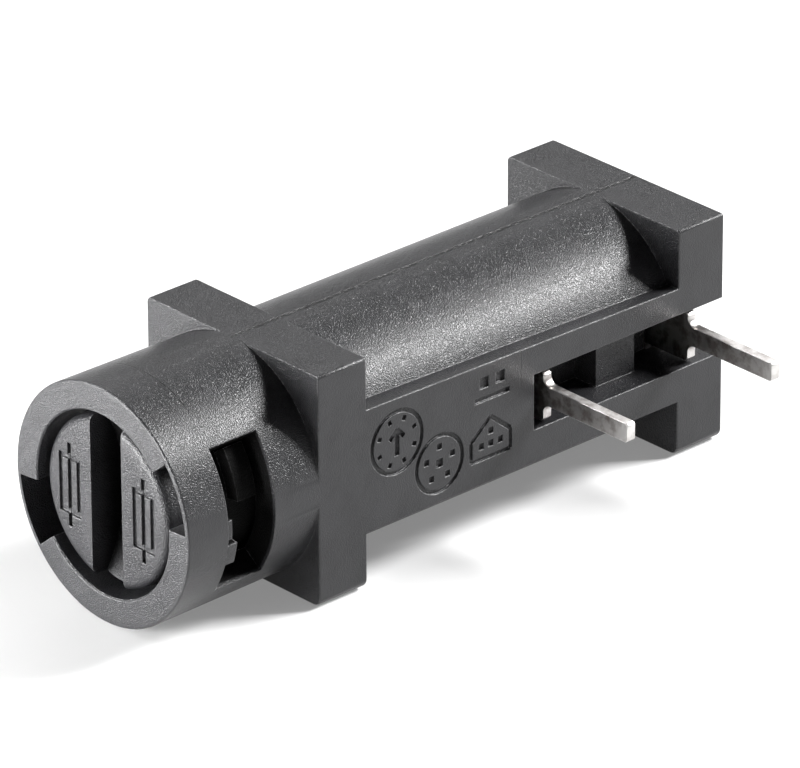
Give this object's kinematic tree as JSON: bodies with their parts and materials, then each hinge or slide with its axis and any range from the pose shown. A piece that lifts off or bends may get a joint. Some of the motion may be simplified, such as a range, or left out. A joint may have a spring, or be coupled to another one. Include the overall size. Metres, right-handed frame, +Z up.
{
  "type": "cartridge fuse holder",
  "caption": "Bayonet fuse holder for a circuit board: black moulded barrel with square flanges, slotted cap, flat solder pins and a 5 x 20 mm fuse inside.",
  "frame": {"origin": "middle of the front flange's foot face, on the circuit board's plane at the height of the fuse axis", "axes": "+X towards the circuit board, along the solder pins; +Y along the fuse axis from the cap to the rear flange; +Z up as the holder lies on its side"},
  "size_m": [0.0188, 0.0365, 0.013],
  "materials": {
    "housing_plastic": "black glass-filled thermoplastic with a fine spark-eroded grain",
    "cap_plastic": "black glass-filled thermoplastic, finely grained",
    "tinned_terminal": "tin-plated copper alloy, satin",
    "spring_steel": "drawn spring wire, satin",
    "nickel_contact": "nickel-plated brass, semi-bright",
    "fuse_glass": "clear drawn glass tube",
    "solder": "dull solder"
  },
  "bodies": {
    "holder": {"housing": "housing_plastic", "front_terminal": "tinned_terminal", "rear_terminal": "tinned_terminal", "rear_contact_spring": "spring_steel"},
    "fuse_carrier": {"contact_ferrule": "nickel_contact", "cap_spring": "spring_steel", "fuse_glass_tube": "fuse_glass", "fuse_end_cap_front": "nickel_contact", "fuse_end_cap_rear": "nickel_contact", "fuse_wire": "solder", "solder_bead_front": "solder", "solder_bead_rear": "solder"},
    "bayonet_cap": {"cap": "cap_plastic"},
    "rear_contact": {"rear_contact_button": "nickel_contact"}
  },
  "joints": [
    {"name": "carrier_slide", "type": "slide", "parent": "holder", "child": "fuse_carrier", "axis": [0, 1, 0], "range_m": [-0.036, 0]},
    {"name": "cap_turn", "type": "hinge", "parent": "fuse_carrier", "child": "bayonet_cap", "pos_m": [-0.00635, -0.0102, 0], "axis": [0, 1, 0], "range_deg": [0, 38]},
    {"name": "contact_travel", "type": "slide", "parent": "holder", "child": "rear_contact", "axis": [0, 1, 0], "range_m": [0, 0.001], "stiffness_N_per_m": 600, "springref_m": -0.0012, "deforming": ["rear_contact_spring"]}
  ]
}
